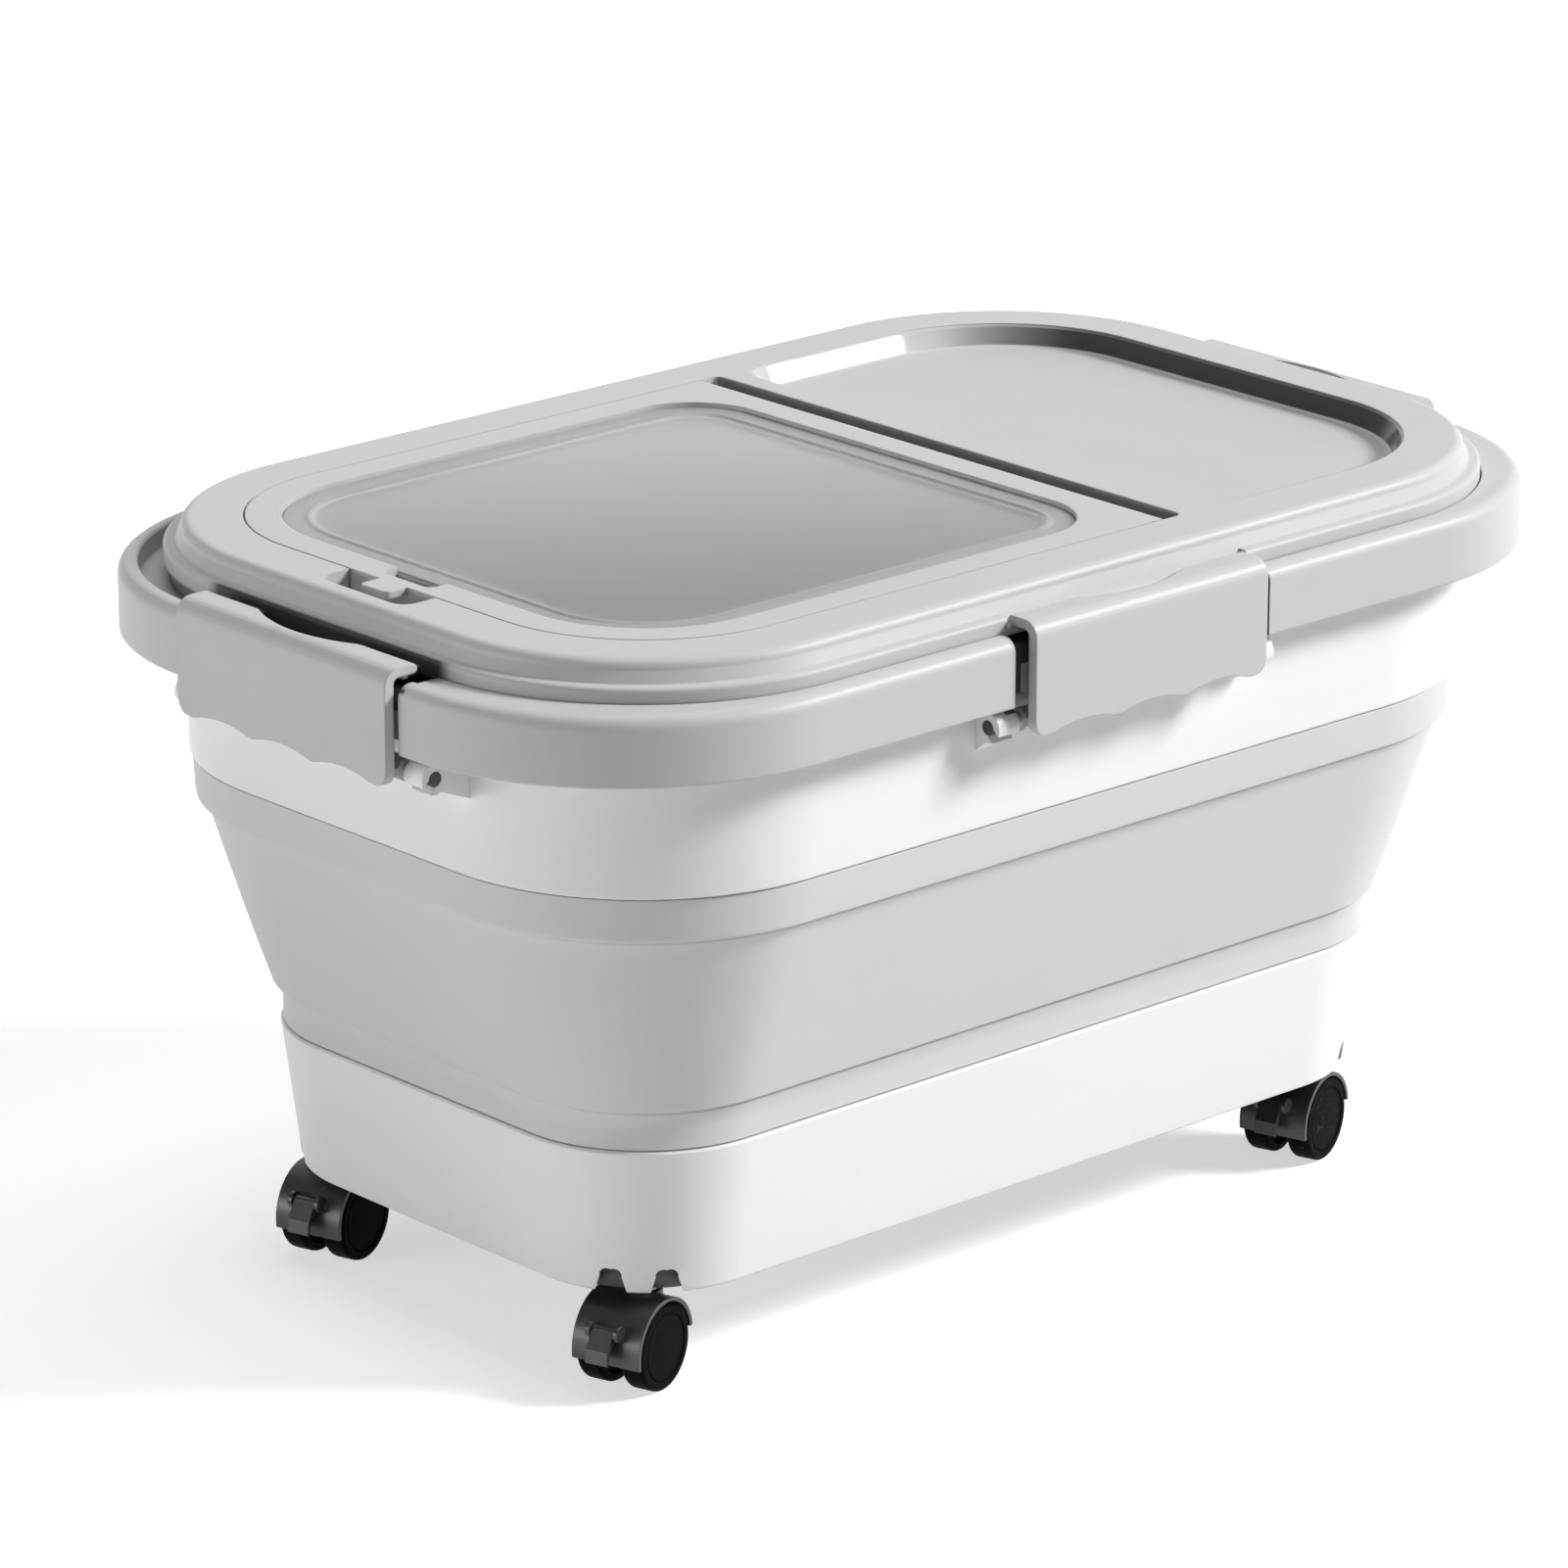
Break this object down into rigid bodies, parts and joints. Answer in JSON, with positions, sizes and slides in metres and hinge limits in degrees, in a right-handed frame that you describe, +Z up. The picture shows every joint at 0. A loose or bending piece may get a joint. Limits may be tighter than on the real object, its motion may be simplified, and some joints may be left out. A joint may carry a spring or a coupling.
{
  "type": "rice bin with flip lid",
  "caption": "Folding rice bin on casters: soft wall between a hard base and ring, clipped lid, and a hinged flip lid with a translucent window.",
  "frame": {"origin": "centre of the bin on the floor, under the middle of the clips' box", "axes": "+X along the bin away from the flip lid's free end, +Y to the back long side, +Z up"},
  "size_m": [0.4174, 0.2674, 0.2285],
  "materials": {
    "white_plastic": "satin moulded polypropylene",
    "grey_plastic": "satin moulded polypropylene",
    "soft_grey": "matt thermoplastic rubber",
    "seal_grey": "matt silicone",
    "clear_plastic": "translucent, fine frosted",
    "caster_plastic": "satin nylon",
    "wheel_black": "matt nylon",
    "steel": "zinc plated"
  },
  "bodies": {
    "base": {"base_tub": "white_plastic", "folding_wall": "soft_grey", "caster_front_left_stem": "steel", "caster_front_right_stem": "steel", "caster_back_right_stem": "steel", "caster_back_left_stem": "steel"},
    "upper": {"upper_ring": "white_plastic", "rim": "grey_plastic", "lid_panel": "grey_plastic", "lid_seal": "seal_grey", "flip_hinge_pins": "steel"},
    "flip_lid": {"flip_frame": "grey_plastic", "flip_window": "clear_plastic", "flip_seal": "seal_grey"},
    "clip_front": {"clip_front": "grey_plastic"},
    "clip_right": {"clip_right": "grey_plastic"},
    "clip_back": {"clip_back": "grey_plastic"},
    "clip_left": {"clip_left": "grey_plastic"},
    "swivel_front_left": {"caster_front_left_hood": "caster_plastic", "caster_front_left_axle": "steel"},
    "wheel_front_left_inner": {"caster_front_left_wheel_inner": "wheel_black"},
    "wheel_front_left_outer": {"caster_front_left_wheel_outer": "wheel_black"},
    "brake_front_left": {"caster_front_left_brake": "caster_plastic"},
    "swivel_front_right": {"caster_front_right_hood": "caster_plastic", "caster_front_right_axle": "steel"},
    "wheel_front_right_inner": {"caster_front_right_wheel_inner": "wheel_black"},
    "wheel_front_right_outer": {"caster_front_right_wheel_outer": "wheel_black"},
    "brake_front_right": {"caster_front_right_brake": "caster_plastic"},
    "swivel_back_right": {"caster_back_right_hood": "caster_plastic", "caster_back_right_axle": "steel"},
    "wheel_back_right_inner": {"caster_back_right_wheel_inner": "wheel_black"},
    "wheel_back_right_outer": {"caster_back_right_wheel_outer": "wheel_black"},
    "brake_back_right": {"caster_back_right_brake": "caster_plastic"},
    "swivel_back_left": {"caster_back_left_hood": "caster_plastic", "caster_back_left_axle": "steel"},
    "wheel_back_left_inner": {"caster_back_left_wheel_inner": "wheel_black"},
    "wheel_back_left_outer": {"caster_back_left_wheel_outer": "wheel_black"},
    "brake_back_left": {"caster_back_left_brake": "caster_plastic"}
  },
  "joints": [
    {"name": "collapse", "type": "slide", "parent": "base", "child": "upper", "axis": [0, 0, -1], "range_m": [0, 0.112], "deforming": ["folding_wall"]},
    {"name": "flip_hinge", "type": "hinge", "parent": "upper", "child": "flip_lid", "pos_m": [0.036, 0, 0.2245], "axis": [0, 1, 0], "range_deg": [0, 110]},
    {"name": "clip_front_swing", "type": "hinge", "parent": "upper", "child": "clip_front", "pos_m": [0, -0.1235, 0.191], "axis": [1, 0, 0], "range_deg": [0, 100]},
    {"name": "clip_right_swing", "type": "hinge", "parent": "upper", "child": "clip_right", "pos_m": [0.1985, 0, 0.191], "axis": [0, 1, 0], "range_deg": [0, 100]},
    {"name": "clip_back_swing", "type": "hinge", "parent": "upper", "child": "clip_back", "pos_m": [0, 0.1235, 0.191], "axis": [-1, 0, 0], "range_deg": [0, 100]},
    {"name": "clip_left_swing", "type": "hinge", "parent": "upper", "child": "clip_left", "pos_m": [-0.1985, 0, 0.191], "axis": [0, -1, 0], "range_deg": [0, 100]},
    {"name": "swivel_front_left", "type": "hinge", "parent": "base", "child": "swivel_front_left", "pos_m": [-0.135, -0.067, 0.028], "axis": [0, 0, 1], "continuous": true},
    {"name": "roll_front_left_inner", "type": "hinge", "parent": "swivel_front_left", "child": "wheel_front_left_inner", "pos_m": [-0.13978, -0.06846, 0.013], "axis": [-0.2924, 0.9563, 0], "continuous": true},
    {"name": "roll_front_left_outer", "type": "hinge", "parent": "swivel_front_left", "child": "wheel_front_left_outer", "pos_m": [-0.13978, -0.06846, 0.013], "axis": [-0.2924, 0.9563, 0], "continuous": true},
    {"name": "brake_front_left", "type": "hinge", "parent": "swivel_front_left", "child": "brake_front_left", "pos_m": [-0.1538, -0.07275, 0.02079], "axis": [0.2924, -0.9563, 0], "range_deg": [0, 15]},
    {"name": "swivel_front_right", "type": "hinge", "parent": "base", "child": "swivel_front_right", "pos_m": [0.135, -0.067, 0.028], "axis": [0, 0, 1], "continuous": true},
    {"name": "roll_front_right_inner", "type": "hinge", "parent": "swivel_front_right", "child": "wheel_front_right_inner", "pos_m": [0.13022, -0.06846, 0.013], "axis": [-0.2924, 0.9563, 0], "continuous": true},
    {"name": "roll_front_right_outer", "type": "hinge", "parent": "swivel_front_right", "child": "wheel_front_right_outer", "pos_m": [0.13022, -0.06846, 0.013], "axis": [-0.2924, 0.9563, 0], "continuous": true},
    {"name": "brake_front_right", "type": "hinge", "parent": "swivel_front_right", "child": "brake_front_right", "pos_m": [0.1162, -0.07275, 0.02079], "axis": [0.2924, -0.9563, 0], "range_deg": [0, 15]},
    {"name": "swivel_back_right", "type": "hinge", "parent": "base", "child": "swivel_back_right", "pos_m": [0.135, 0.067, 0.028], "axis": [0, 0, 1], "continuous": true},
    {"name": "roll_back_right_inner", "type": "hinge", "parent": "swivel_back_right", "child": "wheel_back_right_inner", "pos_m": [0.13022, 0.06554, 0.013], "axis": [-0.2924, 0.9563, 0], "continuous": true},
    {"name": "roll_back_right_outer", "type": "hinge", "parent": "swivel_back_right", "child": "wheel_back_right_outer", "pos_m": [0.13022, 0.06554, 0.013], "axis": [-0.2924, 0.9563, 0], "continuous": true},
    {"name": "brake_back_right", "type": "hinge", "parent": "swivel_back_right", "child": "brake_back_right", "pos_m": [0.1162, 0.06125, 0.02079], "axis": [0.2924, -0.9563, 0], "range_deg": [0, 15]},
    {"name": "swivel_back_left", "type": "hinge", "parent": "base", "child": "swivel_back_left", "pos_m": [-0.135, 0.067, 0.028], "axis": [0, 0, 1], "continuous": true},
    {"name": "roll_back_left_inner", "type": "hinge", "parent": "swivel_back_left", "child": "wheel_back_left_inner", "pos_m": [-0.13978, 0.06554, 0.013], "axis": [-0.2924, 0.9563, 0], "continuous": true},
    {"name": "roll_back_left_outer", "type": "hinge", "parent": "swivel_back_left", "child": "wheel_back_left_outer", "pos_m": [-0.13978, 0.06554, 0.013], "axis": [-0.2924, 0.9563, 0], "continuous": true},
    {"name": "brake_back_left", "type": "hinge", "parent": "swivel_back_left", "child": "brake_back_left", "pos_m": [-0.1538, 0.06125, 0.02079], "axis": [0.2924, -0.9563, 0], "range_deg": [0, 15]}
  ]
}
